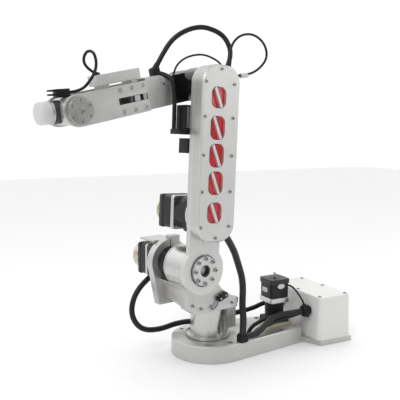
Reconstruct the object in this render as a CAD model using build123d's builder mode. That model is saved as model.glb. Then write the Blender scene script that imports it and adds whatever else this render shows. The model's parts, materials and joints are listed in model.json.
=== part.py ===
from build123d import *
import math
import os

os.makedirs("parts", exist_ok=True)

# Six-axis desktop arm, in millimetres.
# +X is ahead, +Y is the arm's left, +Z is up.  The origin is on the first joint's axis at the base's
# underside.  The arm is built in its resting pose, turned a little to its left on the base.

# ---------------------------------------------------------------- driving sizes
REST_TURN = 10.0          # first joint: the arm's turn on the base, degrees
REST_LEAN = -2.8          # second joint: the upper arm leans back
REST_REACH = -12.0        # forearm's slope to the horizontal
REST_WRIST = -5.0         # tool axis' slope to the horizontal
SHOULDER_OUT = 64.0       # shoulder axis ahead of the first axis
SHOULDER_UP = 170.0
ARM_LENGTH = 305.0        # shoulder axis to elbow axis
FOREARM_LENGTH = 222.5    # elbow axis to wrist axis

FLOOR_T = 3.0
HOUSING_TOP = 22.0
DECK_TOP = 30.0
BASE_R = 71.5             # round front of the base
BASE_CENTRE = -6.0
NECK_X = -178.0
NECK_HALF = 45.0
PAD_FRONT = -193.0
PAD_BACK = -270.0
PAD_HALF = 79.0
PAD_TOP = 8.0

COLUMN_R = 32.0
COLUMN_TOP = 86.0
MOTOR_X = -146.0          # first joint's motor, behind the column
NEMA_17 = 42.3
NEMA_23 = 57.0
CORNER = 4.0

PLATE_NEAR = 70.0         # upper arm plate's outer face, to the left of the arm's middle plane
PLATE_T = 10.0
PLATE_HALF = 31.0
HUB_R = 41.0
BOSS_R = 24.4
BOLT_CIRCLE = 20.6
COVER_NEAR = 91.0
COVER_AHEAD = 32.0
COVER_BEHIND = 44.0
COVER_LOW = 50.0
COVER_HIGH = 334.0
COVER_CORNER = 29.0
COVER_WALL = 3.0
ELBOW_MOTOR_UP = 92.0
ELBOW_PULLEY_R = 22.0
DRIVE_PULLEY_R = 14.0
BELT_T = 1.6

ROLL_FACE = 95.0          # forearm roll joint's face, ahead of the elbow axis
FORK_HALF = 36.0
FORK_T = 6.0
FORK_HIGH = 23.5
WRIST_R = 21.0
CLEAR = 0.4

# ---------------------------------------------------------------- planes that the arm is drawn on


def along(angle):
    """A unit vector in the arm's own upright plane, sloping up by the angle."""
    turn, rise = math.radians(REST_TURN), math.radians(angle)
    return Vector(
        math.cos(turn) * math.cos(rise),
        math.sin(turn) * math.cos(rise),
        math.sin(rise),
    )


RIGHT = Vector(math.sin(math.radians(REST_TURN)), -math.cos(math.radians(REST_TURN)), 0)
SIDE = Plane(origin=(0, 0, 0), x_dir=along(0), z_dir=RIGHT)
SHOULDER = along(0) * SHOULDER_OUT + Vector(0, 0, SHOULDER_UP)
ARM = Plane(origin=SHOULDER, x_dir=along(-REST_LEAN), z_dir=RIGHT)
ELBOW = SHOULDER + along(90 - REST_LEAN) * ARM_LENGTH
FORE = Plane(origin=ELBOW, x_dir=along(REST_REACH), z_dir=RIGHT)
WRIST = ELBOW + along(REST_REACH) * FOREARM_LENGTH
HAND = Plane(origin=WRIST, x_dir=along(REST_WRIST), z_dir=RIGHT)


def at_left(plane, distance):
    """The side plane moved to the arm's left.  Extrusions run back towards its right."""
    return plane.offset(-distance)


def across(plane, distance):
    """A plane square to a limb, at a distance along it.  Its x is the arm's left, its y is up."""
    start = plane.origin + plane.x_dir * distance
    return Plane(origin=start, x_dir=RIGHT * -1, z_dir=plane.x_dir)


def keep(builder, label):
    builder.part.label = label
    export_step(builder.part, f"parts/{label}.step")


def spot(plane, ahead, left, up):
    """A point given ahead, to the arm's left and up from a limb's own origin."""
    return plane.origin + plane.x_dir * ahead - plane.z_dir * left + plane.y_dir * up


def bend_radii(points):
    """Each bend takes 0.45 of the shorter run beside it."""
    radii = []
    for before, here, after in zip(points, points[1:], points[2:]):
        turn = math.radians((here - before).get_angle(after - here))
        run = min((here - before).length, (after - here).length)
        radii.append(0.45 * run / math.tan(turn / 2))
    return radii


def keep_cable(label, thickness, points):
    """A round cable along straight runs joined by bends."""
    radii = bend_radii(points)
    with BuildPart() as cable:
        with BuildLine():
            route = FilletPolyline(*points, radius=radii)
        with BuildSketch(Plane(origin=route @ 0, z_dir=route % 0)):
            Circle(thickness / 2)
        sweep(path=route)
    expected = math.pi * thickness**2 / 4 * route.length
    print(label, "length", round(route.length, 1), "diameter", thickness,
          "bend radii", [round(r, 1) for r in radii],
          "volume ratio", round(cable.part.volume / expected, 4))
    keep(cable, label)


def screw_group(plane, points, head_r, head_t, shank_r, shank_t):
    """Cap screws with hexagon sockets, heads standing outwards from the plane."""
    with BuildPart() as group:
        with BuildSketch(plane):
            with Locations(*points):
                Circle(shank_r)
        extrude(amount=shank_t)
        with BuildSketch(plane):
            with Locations(*points):
                Circle(head_r)
        extrude(amount=-head_t)
        with BuildSketch(plane.offset(-head_t)):
            with Locations(*points):
                RegularPolygon(head_r * 0.5, 6)
        extrude(amount=head_t * 0.6, mode=Mode.SUBTRACT)
    return group


# ---------------------------------------------------------------- base
DECK_SCREWS = [(28.0, 50.0), (-76.0, 48.0), (-170.0, 34.0)]
MOUNT_HOLES = [(-14.0, 57.0), (-133.0, 40.0)]
MOUNT_HOLE_R = 3.3
SCREW_DEEP = 14.0


NECK_RUN = BASE_CENTRE - NECK_X


def base_outline():
    """Round front, with long sides drawn in to a neck at the back."""
    far = math.hypot(NECK_RUN, NECK_HALF)
    tangent = math.atan2(NECK_HALF, -NECK_RUN) - math.acos(BASE_R / far)
    touch_x = BASE_CENTRE + BASE_R * math.cos(tangent)
    touch_y = BASE_R * math.sin(tangent)
    with Locations((BASE_CENTRE, 0)):
        Circle(BASE_R)
    Polygon(
        (touch_x, touch_y),
        (NECK_X, NECK_HALF),
        (NECK_X, -NECK_HALF),
        (touch_x, -touch_y),
        align=None,
    )


def pad_outline():
    """The wider pad that carries the enclosure."""
    Polygon(
        (NECK_X + 20, NECK_HALF),
        (NECK_X - 6, NECK_HALF),
        (PAD_FRONT, PAD_HALF - 14),
        (PAD_FRONT - 3, PAD_HALF),
        (PAD_BACK, PAD_HALF),
        (PAD_BACK, -PAD_HALF),
        (PAD_FRONT - 3, -PAD_HALF),
        (PAD_FRONT, 14 - PAD_HALF),
        (NECK_X - 6, -NECK_HALF),
        (NECK_X + 20, -NECK_HALF),
        align=None,
    )


ALL_HOLES = [(x, y * s) for x, y in MOUNT_HOLES for s in (1, -1)]
ALL_SCREWS = [(x, y * s) for x, y in DECK_SCREWS for s in (1, -1)]
BEARING_R = 40.0
CAVITY_R = 50.0
BELT_FLOOR = 8.0
BELT_WIDTH = 10.0
J1_PULLEY_R = 42.0
J1_DRIVE_R = 11.0

with BuildPart() as base_housing:
    with BuildSketch(Plane.XY):
        base_outline()
    extrude(amount=HOUSING_TOP)
    with BuildSketch(Plane.XY):
        pad_outline()
    extrude(amount=PAD_TOP)
    with BuildSketch(Plane.XY.offset(FLOOR_T)):
        Circle(CAVITY_R)
        with Locations((MOTOR_X, 0)):
            Circle(24)
        make_hull()
    extrude(amount=HOUSING_TOP - FLOOR_T, mode=Mode.SUBTRACT)
    with BuildSketch(Plane.XY):
        with Locations(*ALL_HOLES):
            Circle(MOUNT_HOLE_R)
    extrude(amount=HOUSING_TOP, mode=Mode.SUBTRACT)
    with BuildSketch(Plane.XY.offset(HOUSING_TOP)):
        with Locations(*ALL_SCREWS):
            Circle(2.0)
    extrude(amount=-SCREW_DEEP, mode=Mode.SUBTRACT)
keep(base_housing, "base_housing")

DECK_EDGE = 2.0
with BuildPart() as base_deck:
    with BuildSketch(Plane.XY.offset(HOUSING_TOP)):
        base_outline()
        Circle(BEARING_R - 4, mode=Mode.SUBTRACT)
        with Locations((MOTOR_X, 0)):
            Circle(7, mode=Mode.SUBTRACT)
    extrude(amount=DECK_TOP - HOUSING_TOP)
    chamfer(base_deck.faces().sort_by(Axis.Z)[-1].outer_wire().edges(), DECK_EDGE)
    with BuildSketch(Plane.XY.offset(DECK_TOP)):
        with Locations(*ALL_HOLES):
            Circle(5.6)
        with Locations(*ALL_SCREWS):
            Circle(3.7)
    extrude(amount=-4.0, mode=Mode.SUBTRACT)
    with BuildSketch(Plane.XY.offset(HOUSING_TOP)):
        with Locations(*ALL_HOLES):
            Circle(MOUNT_HOLE_R)
        with Locations(*ALL_SCREWS):
            Circle(2.0)
    extrude(amount=DECK_TOP - HOUSING_TOP, mode=Mode.SUBTRACT)
keep(base_deck, "base_deck")

# first joint's drive: motor and gearbox on a slotted foot, belt in the base
GEARBOX_TOP = 74.0
FLANGE_TOP = 80.0
J1_TOP = 120.0
with BuildPart() as j1_mount_plate:
    with BuildSketch(Plane.XY.offset(DECK_TOP)):
        with Locations((MOTOR_X, 0)):
            RectangleRounded(50, 46, 3)
            Circle(7, mode=Mode.SUBTRACT)
            with GridLocations(38, 34, 2, 2):
                SlotOverall(9, 4.4, mode=Mode.SUBTRACT)
    extrude(amount=6)
keep(j1_mount_plate, "j1_mount_plate")

with BuildPart() as j1_gearbox:
    with BuildSketch(Plane.XY.offset(DECK_TOP + 6)):
        with Locations((MOTOR_X, 0)):
            Circle(18)
            Circle(4.2, mode=Mode.SUBTRACT)
    extrude(amount=GEARBOX_TOP - DECK_TOP - 6)
    with BuildSketch(Plane.XY.offset(DECK_TOP + 6)):
        with Locations((MOTOR_X, 0)):
            RectangleRounded(42, 42, 4)
            Circle(4.2, mode=Mode.SUBTRACT)
    extrude(amount=8)
keep(j1_gearbox, "j1_gearbox")

with BuildPart() as j1_motor:
    with BuildSketch(Plane.XY.offset(GEARBOX_TOP)):
        with Locations((MOTOR_X, 0)):
            RectangleRounded(NEMA_17, NEMA_17, CORNER)
            Circle(2.6, mode=Mode.SUBTRACT)
    extrude(amount=J1_TOP - GEARBOX_TOP)
    with BuildSketch(Plane.XY.offset(FLANGE_TOP)):
        with Locations((MOTOR_X, 0)):
            RectangleRounded(NEMA_17 + 2, NEMA_17 + 2, CORNER)
            RectangleRounded(NEMA_17 - 1.2, NEMA_17 - 1.2, CORNER, mode=Mode.SUBTRACT)
    extrude(amount=J1_TOP - FLANGE_TOP - 9, mode=Mode.SUBTRACT)
keep(j1_motor, "j1_motor")

with BuildPart() as j1_drive_pulley:
    with BuildSketch(Plane.XY.offset(BELT_FLOOR)):
        with Locations((MOTOR_X, 0)):
            Circle(4.0)
    extrude(amount=GEARBOX_TOP - BELT_FLOOR)
    with BuildSketch(Plane.XY.offset(GEARBOX_TOP)):
        with Locations((MOTOR_X, 0)):
            Circle(2.5)
    extrude(amount=J1_TOP + 9 - GEARBOX_TOP)
    with BuildSketch(Plane.XY.offset(BELT_FLOOR - 1)):
        with Locations((MOTOR_X, 0)):
            Circle(J1_DRIVE_R)
    extrude(amount=BELT_WIDTH + 2)
keep(j1_drive_pulley, "j1_drive_pulley")


def belt_loop(plane, centre_a, radius_a, centre_b, radius_b, width):
    """The closed band round two pulleys, clear of both."""
    with BuildPart() as band:
        with BuildSketch(plane):
            with Locations(centre_a):
                Circle(radius_a + CLEAR + BELT_T)
            with Locations(centre_b):
                Circle(radius_b + CLEAR + BELT_T)
            make_hull()
        extrude(amount=width)
        with BuildSketch(plane):
            with Locations(centre_a):
                Circle(radius_a + CLEAR)
            with Locations(centre_b):
                Circle(radius_b + CLEAR)
            make_hull()
        extrude(amount=width, mode=Mode.SUBTRACT)
    return band


j1_belt = belt_loop(Plane.XY.offset(BELT_FLOOR), (0, 0), J1_PULLEY_R, (MOTOR_X, 0), J1_DRIVE_R, BELT_WIDTH)
keep(j1_belt, "j1_belt")

with BuildPart() as j1_driven_pulley:
    with BuildSketch(Plane.XY.offset(BELT_FLOOR - 1)):
        Circle(J1_PULLEY_R)
        Circle(12, mode=Mode.SUBTRACT)
    extrude(amount=BELT_WIDTH + 2)
    with BuildSketch(Plane.XY.offset(BELT_FLOOR + BELT_WIDTH + 1)):
        Circle(BEARING_R - 6)
        Circle(12, mode=Mode.SUBTRACT)
    extrude(amount=DECK_TOP + 1 - BELT_FLOOR - BELT_WIDTH - 1)
keep(j1_driven_pulley, "j1_driven_pulley")

# enclosure: drafted box with a lid, six screws, a gland and a terminal board inside
BOX_TOP = 80.0
LID_TOP = 90.0
BOX_MID = (PAD_FRONT + PAD_BACK) / 2 - 0.5
BOX_LONG = 2 * PAD_HALF - 2
BOX_DEEP = PAD_FRONT - PAD_BACK - 2
DRAFT = 1.0
LID_SCREWS = [(BOX_MID + dx, dy) for dx in (-30, 30) for dy in (-67, 0, 67)]
GLAND_Y = 44.0
GLAND_Z = 60.0

with BuildPart() as enclosure_box:
    with BuildSketch(Plane.XY.offset(PAD_TOP)):
        with Locations((BOX_MID, 0)):
            RectangleRounded(BOX_DEEP, BOX_LONG, 9)
    extrude(amount=BOX_TOP - PAD_TOP, taper=DRAFT)
    with BuildSketch(Plane.XY.offset(PAD_TOP + 3)):
        with Locations((BOX_MID, 0)):
            RectangleRounded(BOX_DEEP - 8, BOX_LONG - 8, 6)
    extrude(amount=BOX_TOP - PAD_TOP, mode=Mode.SUBTRACT)
    with BuildSketch(Plane.XY.offset(PAD_TOP + 3)):
        with Locations(*LID_SCREWS):
            Circle(5)
    extrude(amount=BOX_TOP - PAD_TOP - 3)
    with BuildSketch(Plane.XY.offset(BOX_TOP)):
        with Locations(*LID_SCREWS):
            Circle(1.7)
    extrude(amount=-18, mode=Mode.SUBTRACT)
    with BuildSketch(Plane.YZ.offset(BOX_MID)):
        with Locations((GLAND_Y, GLAND_Z)):
            Circle(8)
    extrude(amount=60, mode=Mode.SUBTRACT)
keep(enclosure_box, "enclosure_box")

with BuildPart() as enclosure_lid:
    with BuildSketch(Plane.XY.offset(BOX_TOP)):
        with Locations((BOX_MID, 0)):
            RectangleRounded(BOX_DEEP - 2.4, BOX_LONG - 2.4, 8)
    extrude(amount=LID_TOP - BOX_TOP, taper=DRAFT)
    fillet(enclosure_lid.faces().sort_by(Axis.Z)[-1].edges(), 2.0)
    with BuildSketch(Plane.XY.offset(BOX_TOP)):
        with Locations((BOX_MID, 0)):
            RectangleRounded(BOX_DEEP - 10, BOX_LONG - 10, 5)
    extrude(amount=6, mode=Mode.SUBTRACT)
    with BuildSketch(Plane.XY.offset(BOX_TOP)):
        with Locations(*LID_SCREWS):
            Circle(5)
    extrude(amount=7)
    with BuildSketch(Plane.XY.offset(BOX_TOP)):
        with Locations(*LID_SCREWS):
            Circle(1.7)
    extrude(amount=12, mode=Mode.SUBTRACT)
    with BuildSketch(Plane.XY.offset(LID_TOP)):
        with Locations(*LID_SCREWS):
            Circle(3.4)
    extrude(amount=-1.4, mode=Mode.SUBTRACT)
keep(enclosure_lid, "enclosure_lid")

# the same cap screws hold the base's deck and the enclosure's lid
with BuildPart() as case_screws:
    for seat, points in ((DECK_TOP - 4, ALL_SCREWS), (LID_TOP - 1.4, LID_SCREWS)):
        looking_down = Plane.XY.offset(seat).rotated((180, 0, 0))
        add(screw_group(looking_down, [(x, -y) for x, y in points], 3.2, 2.6, 1.65, 15).part)
keep(case_screws, "case_screws")

GLAND_FACE = -190.0
GLAND_BORE = 4.5
with BuildPart() as enclosure_gland:
    with BuildSketch(Plane.YZ.offset(GLAND_FACE - 14)):
        with Locations((GLAND_Y, GLAND_Z)):
            Circle(7.8)
            Circle(GLAND_BORE, mode=Mode.SUBTRACT)
    extrude(amount=26)
    with BuildSketch(Plane.YZ.offset(GLAND_FACE)):
        with Locations((GLAND_Y, GLAND_Z)):
            RegularPolygon(13, 6)
            Circle(GLAND_BORE, mode=Mode.SUBTRACT)
    extrude(amount=6)
    with BuildSketch(Plane.YZ.offset(GLAND_FACE + 6)):
        with Locations((GLAND_Y, GLAND_Z)):
            Circle(11)
            Circle(GLAND_BORE, mode=Mode.SUBTRACT)
    extrude(amount=6)
keep(enclosure_gland, "enclosure_gland")

with BuildPart() as enclosure_board:
    with BuildSketch(Plane.XY.offset(PAD_TOP + 7)):
        with Locations((BOX_MID, 0)):
            Rectangle(44, 110)
    extrude(amount=1.6)
    with BuildSketch(Plane.XY.offset(PAD_TOP + 3)):
        with Locations((BOX_MID, 0)):
            with GridLocations(36, 100, 2, 2):
                Circle(3)
    extrude(amount=4)
    with BuildSketch(Plane.XY.offset(PAD_TOP + 8.6)):
        with Locations((BOX_MID, 0)):
            with GridLocations(26, 24, 2, 4):
                Rectangle(12, 18)
    extrude(amount=11)
keep(enclosure_board, "enclosure_board")

# ---------------------------------------------------------------- turret
FRAME_LEFT = 42.0
FRAME_RIGHT = -25.0
CLAMP_RIGHT = -41.0
CLAMP_R = 39.0
SIDE_SCREWS = [(48.0, 96.0), (66.0, 104.0), (-22.0, 95.0), (26.0, 96.0)]
BARREL_R = 36.0
BARREL_LEFT = 58.6
BARREL_RIGHT = 5.0
J2_GEARBOX_R = 27.0

with BuildPart() as turret_column:
    with BuildSketch(Plane.XY.offset(DECK_TOP + 1)):
        Circle(BEARING_R)
        Circle(12, mode=Mode.SUBTRACT)
    extrude(amount=5)
    with BuildSketch(Plane.XY.offset(DECK_TOP + 6)):
        Circle(COLUMN_R)
        Circle(20, mode=Mode.SUBTRACT)
    extrude(amount=COLUMN_TOP - DECK_TOP - 6)
keep(turret_column, "turret_column")

with BuildPart() as turret_frame:
    with BuildSketch(at_left(SIDE, FRAME_LEFT)):
        Polygon(
                (-34, COLUMN_TOP),
                (58, COLUMN_TOP),
                (75, 97),
                (80, 130),
                (SHOULDER_OUT + BARREL_R - 3, SHOULDER_UP - 8),
                (SHOULDER_OUT, SHOULDER_UP),
                (SHOULDER_OUT - BARREL_R + 2, SHOULDER_UP - 10),
                (2, 124),
                (-24, 106),
                (-36, 103),
                (-36, 94),
                (-34, 92),
                align=None,
        )
    extrude(amount=FRAME_LEFT - FRAME_RIGHT)
    with BuildSketch(at_left(SIDE, FRAME_RIGHT)):
        with Locations((SHOULDER_OUT, SHOULDER_UP)):
            Circle(CLAMP_R)
        Polygon(
            (SHOULDER_OUT - CLAMP_R, SHOULDER_UP),
            (22, 95),
            (88, 95),
            (SHOULDER_OUT + CLAMP_R, SHOULDER_UP),
            align=None,
        )
        with Locations((SHOULDER_OUT - 10, SHOULDER_UP + 38)):
            Rectangle(20, 14)
    extrude(amount=FRAME_RIGHT - CLAMP_RIGHT)
    with BuildSketch(at_left(SIDE, FRAME_LEFT + 1)):
        with Locations((SHOULDER_OUT, SHOULDER_UP)):
            Circle(BARREL_R)
    extrude(amount=FRAME_LEFT + 1 - FRAME_RIGHT, mode=Mode.SUBTRACT)
    with BuildSketch(at_left(SIDE, FRAME_RIGHT)):
        with Locations((SHOULDER_OUT, SHOULDER_UP)):
            Circle(J2_GEARBOX_R)
    extrude(amount=FRAME_RIGHT - CLAMP_RIGHT, mode=Mode.SUBTRACT)
    with BuildSketch(at_left(SIDE, FRAME_RIGHT)):
        with Locations((SHOULDER_OUT, SHOULDER_UP + 36)):
            Rectangle(2, 26)
    extrude(amount=FRAME_RIGHT - CLAMP_RIGHT, mode=Mode.SUBTRACT)
    with BuildSketch(at_left(SIDE, 20)):
        Polygon((45, COLUMN_TOP), (90, COLUMN_TOP), (90, 112), (70, 104), align=None)
    extrude(amount=20 - FRAME_RIGHT, mode=Mode.SUBTRACT)
    with BuildSketch(at_left(SIDE, 12)):
        with Locations((-46, 66)):
            Rectangle(22, 58)
    extrude(amount=6)
    with BuildSketch(Plane.XY.offset(COLUMN_TOP)):
        Circle(20)
    extrude(amount=6, mode=Mode.SUBTRACT)
    with BuildSketch(at_left(SIDE, CLAMP_RIGHT)):
        with Locations((SHOULDER_OUT + 2, SHOULDER_UP + 35.5)):
            Rectangle(44, 3)
    extrude(amount=46)
    with BuildSketch(at_left(SIDE, FRAME_LEFT)):
        with Locations(*SIDE_SCREWS):
            Circle(1.65)
    extrude(amount=2, mode=Mode.SUBTRACT)
keep(turret_frame, "turret_frame")

# the frame's side face carries two cap screws low at the front and two at the back
turret_screws = screw_group(at_left(SIDE, FRAME_LEFT), SIDE_SCREWS, 2.6, 2.2, 1.6, 0.6)
keep(turret_screws, "turret_screws")

with BuildPart() as j2_barrel:
    with BuildSketch(at_left(SIDE, BARREL_LEFT)):
        with Locations((SHOULDER_OUT, SHOULDER_UP)):
            Circle(BARREL_R)
            Circle(28, mode=Mode.SUBTRACT)
    extrude(amount=BARREL_LEFT - BARREL_RIGHT)
    with BuildSketch(at_left(SIDE, BARREL_RIGHT + 4)):
        with Locations((SHOULDER_OUT, SHOULDER_UP)):
            Circle(BARREL_R)
            Circle(BARREL_R - 0.8, mode=Mode.SUBTRACT)
    extrude(amount=1.2, mode=Mode.SUBTRACT)
keep(j2_barrel, "j2_barrel")

J2_FLANGE = -57.0
J2_REAR = -88.0
J2_END = -112.0
SHOULDER_AT = (SHOULDER_OUT, SHOULDER_UP)

with BuildPart() as j2_gearbox:
    with BuildSketch(at_left(SIDE, BARREL_RIGHT)):
        with Locations(SHOULDER_AT):
            Circle(J2_GEARBOX_R - 0.05)
    extrude(amount=BARREL_RIGHT - CLAMP_RIGHT)
    with BuildSketch(at_left(SIDE, CLAMP_RIGHT)):
        with Locations(SHOULDER_AT):
            RectangleRounded(NEMA_23, NEMA_23, 6)
    extrude(amount=CLAMP_RIGHT - J2_FLANGE)
    with BuildSketch(at_left(SIDE, BARREL_RIGHT)):
        with Locations(SHOULDER_AT):
            Circle(13)
    extrude(amount=10, mode=Mode.SUBTRACT)
keep(j2_gearbox, "j2_gearbox")


def motor_23(plane, centre, front, back):
    """Square stepper motor with a flange plate, a slimmer middle and a back plate."""
    with BuildPart() as motor:
        with BuildSketch(at_left(plane, front)):
            with Locations(centre):
                RectangleRounded(NEMA_23, NEMA_23, 5)
        extrude(amount=front - back)
        with BuildSketch(at_left(plane, front - 5)):
            with Locations(centre):
                RectangleRounded(NEMA_23 + 2, NEMA_23 + 2, 5)
                RectangleRounded(NEMA_23 - 2, NEMA_23 - 2, 5, mode=Mode.SUBTRACT)
        extrude(amount=front - back - 10, mode=Mode.SUBTRACT)
    return motor


def encoder_can(plane, centre, front, back):
    """Round encoder cover with a rounded rim."""
    with BuildPart() as can:
        with BuildSketch(at_left(plane, front)):
            with Locations(centre):
                Circle(26.5)
        extrude(amount=front - back)
        fillet(can.faces().sort_by(Axis(plane.origin, plane.z_dir))[-1].edges(), 6)
    return can


j2_motor = motor_23(SIDE, SHOULDER_AT, J2_FLANGE, J2_REAR)
keep(j2_motor, "j2_motor")
j2_encoder = encoder_can(SIDE, SHOULDER_AT, J2_REAR, J2_END)
keep(j2_encoder, "j2_encoder")

# shoulder limit switch: a small block on the frame's side face, with a sprung lever
SWITCH_AT = (4.0, 111.0)
SWITCH_TILT = -20.0
LEVER_PIVOT = (13.5, 101.5)
LEVER_TILT = -52.0
SWITCH_T = 8.0

with BuildPart() as j2_switch:
    with BuildSketch(at_left(SIDE, FRAME_LEFT + SWITCH_T)):
        with Locations(SWITCH_AT):
            Rectangle(21, 9, rotation=SWITCH_TILT)
            with Locations(Location((0, 0), SWITCH_TILT)):
                with Locations((-6, 0), (6, 0)):
                    Circle(1.2, mode=Mode.SUBTRACT)
    extrude(amount=SWITCH_T)
keep(j2_switch, "j2_switch")

with BuildPart() as j2_switch_lever:
    with BuildSketch(at_left(SIDE, FRAME_LEFT + 6.2)):
        with Locations(Location(LEVER_PIVOT, LEVER_TILT)):
            Circle(1.6)
            with Locations((7, 0)):
                Rectangle(14, 0.9)
            with Locations((14, 1.6)):
                Circle(2.2)
    extrude(amount=4.2)
keep(j2_switch_lever, "j2_switch_lever")

# ---------------------------------------------------------------- upper arm
MOTOR_AT = (0.0, ELBOW_MOTOR_UP)
ELBOW_AT = (0.0, ARM_LENGTH)
PLATE_FAR = PLATE_NEAR - PLATE_T
HUB_SINK = 6.0
HUB_SINK_R = 27.0
SPINDLE_R = 11.0
PAD_T = 6.0
COVER_MID = ((COVER_AHEAD - COVER_BEHIND) / 2, (COVER_LOW + COVER_HIGH) / 2)
COVER_WIDE = COVER_AHEAD + COVER_BEHIND
COVER_TALL = COVER_HIGH - COVER_LOW
LID_T = 5.0
RUNNING = 0.06

with BuildPart() as arm_plate:
    with BuildSketch(at_left(ARM, PLATE_NEAR)):
        with Locations((0, 60)):
            Rectangle(2 * PLATE_HALF, 120)
        with Locations(COVER_MID):
            RectangleRounded(COVER_WIDE, COVER_TALL, COVER_CORNER)
        Circle(HUB_R)
    extrude(amount=PLATE_T)
    with BuildSketch(at_left(ARM, PLATE_FAR)):
        with Locations(MOTOR_AT):
            Circle(31)
    extrude(amount=PAD_T)
    with BuildSketch(at_left(ARM, PLATE_NEAR)):
        Circle(HUB_SINK_R)
    extrude(amount=HUB_SINK, mode=Mode.SUBTRACT)
    with BuildSketch(at_left(ARM, PLATE_NEAR)):
        Circle(12 + RUNNING)
        with Locations(ELBOW_AT):
            Circle(SPINDLE_R + RUNNING)
        with Locations(MOTOR_AT):
            Circle(9)
    extrude(amount=PLATE_T + PAD_T, mode=Mode.SUBTRACT)
keep(arm_plate, "arm_plate")

BOSS_LEFT = 74.5
with BuildPart() as j2_boss:
    with BuildSketch(at_left(ARM, BOSS_LEFT)):
        Circle(BOSS_R)
    extrude(amount=BOSS_LEFT - PLATE_NEAR + HUB_SINK)
    with BuildSketch(at_left(ARM, PLATE_NEAR - HUB_SINK)):
        Circle(12)
    extrude(amount=PLATE_NEAR - HUB_SINK - BARREL_RIGHT + 6)
    with BuildSketch(at_left(ARM, BOSS_LEFT)):
        Circle(10)
    extrude(amount=8, mode=Mode.SUBTRACT)
    with BuildSketch(at_left(ARM, BOSS_LEFT)):
        with PolarLocations(BOLT_CIRCLE, 8, 90):
            Circle(1.95)
    extrude(amount=9, mode=Mode.SUBTRACT)
keep(j2_boss, "j2_boss")


def ring_of_points(radius, count, start):
    return [
        (
            radius * math.cos(math.radians(start + k * 360 / count)),
            radius * math.sin(math.radians(start + k * 360 / count)),
        )
        for k in range(count)
    ]


hub_bolts = screw_group(at_left(ARM, BOSS_LEFT), ring_of_points(BOLT_CIRCLE, 8, 90), 3.4, 2.6, 1.9, 8.5)
keep(hub_bolts, "hub_bolts")

LID_NEAR = COVER_NEAR
LID_FAR = COVER_NEAR - LID_T
with BuildPart() as cover_box:
    with BuildSketch(at_left(ARM, LID_FAR)):
        with Locations(COVER_MID):
            RectangleRounded(COVER_WIDE, COVER_TALL, COVER_CORNER)
            RectangleRounded(
                COVER_WIDE - 2 * COVER_WALL,
                COVER_TALL - 2 * COVER_WALL,
                COVER_CORNER - COVER_WALL,
                mode=Mode.SUBTRACT,
            )
    extrude(amount=LID_FAR - PLATE_NEAR)
    with BuildSketch(at_left(ARM, LID_FAR)):
        with Locations(*[(u, v) for u in (27.0, -31.0) for v in (305.0, 251.0, 190.0, 132.0, 75.0)]):
            Circle(3.0)
    extrude(amount=LID_FAR - PLATE_NEAR)
keep(cover_box, "cover_box")

WINDOWS_TALL = [(282.0, 34.0), (234.0, 38.0), (190.0, 38.0), (146.0, 38.0), (98.0, 34.0)]
WINDOW_MID = 0.0
WINDOW_WIDE = 30.0
COVER_SCREWS = [(u, v) for u in (27.0, -31.0) for v in (305.0, 251.0, 190.0, 132.0, 75.0)]
COVER_SCREWS += [(-4.0, 327.0), (-4.0, 57.0)]

with BuildPart() as cover_lid:
    with BuildSketch(at_left(ARM, LID_NEAR)):
        with Locations(COVER_MID):
            RectangleRounded(COVER_WIDE, COVER_TALL, COVER_CORNER)
    extrude(amount=LID_T)
    chamfer(cover_lid.faces().sort_by(Axis(SHOULDER, RIGHT))[0].edges(), 2.2)
    with BuildSketch(at_left(ARM, LID_NEAR)):
        for v, tall in WINDOWS_TALL:
            with Locations((WINDOW_MID, v)):
                RectangleRounded(WINDOW_WIDE, tall, 11)
                Rectangle(5, tall, rotation=-24, mode=Mode.SUBTRACT)
        with Locations(*COVER_SCREWS):
            Circle(1.6)
    extrude(amount=LID_T, mode=Mode.SUBTRACT)
keep(cover_lid, "cover_lid")

cover_screws = screw_group(at_left(ARM, LID_NEAR), COVER_SCREWS, 2.7, 1.6, 1.55, LID_T - 0.2)
keep(cover_screws, "cover_screws")

with BuildPart() as cover_inlays:
    with BuildSketch(at_left(ARM, LID_FAR - 0.1)):
        for v, tall in WINDOWS_TALL:
            with Locations((WINDOW_MID, v)):
                RectangleRounded(WINDOW_WIDE + 6, tall + 5, 12)
    extrude(amount=1.4)
keep(cover_inlays, "cover_inlays")

PULLEY_NEAR = 83.0
PULLEY_W = 11.0
j3_belt = belt_loop(
    at_left(ARM, PULLEY_NEAR - 0.5), MOTOR_AT, DRIVE_PULLEY_R, ELBOW_AT, ELBOW_PULLEY_R, PULLEY_W - 1
)
keep(j3_belt, "j3_belt")

with BuildPart() as j3_drive_pulley:
    with BuildSketch(at_left(ARM, PULLEY_NEAR)):
        with Locations(MOTOR_AT):
            Circle(DRIVE_PULLEY_R)
    extrude(amount=PULLEY_W)
    with BuildSketch(at_left(ARM, PULLEY_NEAR - PULLEY_W)):
        with Locations(MOTOR_AT):
            Circle(6)
    extrude(amount=PULLEY_NEAR - PULLEY_W - PLATE_FAR + PAD_T - 0.5)
keep(j3_drive_pulley, "j3_drive_pulley")

J3_GEAR_FAR = 18.0
J3_MOTOR_FAR = -25.0
J3_END = -40.0
PAD_FAR = PLATE_FAR - PAD_T
with BuildPart() as j3_gearbox:
    with BuildSketch(at_left(ARM, PAD_FAR)):
        with Locations(MOTOR_AT):
            RectangleRounded(NEMA_23, NEMA_23, 7)
    extrude(amount=8)
    with BuildSketch(at_left(ARM, PAD_FAR - 8)):
        with Locations(MOTOR_AT):
            Circle(28.5)
    extrude(amount=PAD_FAR - 8 - J3_GEAR_FAR)
keep(j3_gearbox, "j3_gearbox")

j3_motor = motor_23(ARM, MOTOR_AT, J3_GEAR_FAR, J3_MOTOR_FAR)
keep(j3_motor, "j3_motor")
j3_encoder = encoder_can(ARM, MOTOR_AT, J3_MOTOR_FAR, J3_END)
keep(j3_encoder, "j3_encoder")

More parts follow.
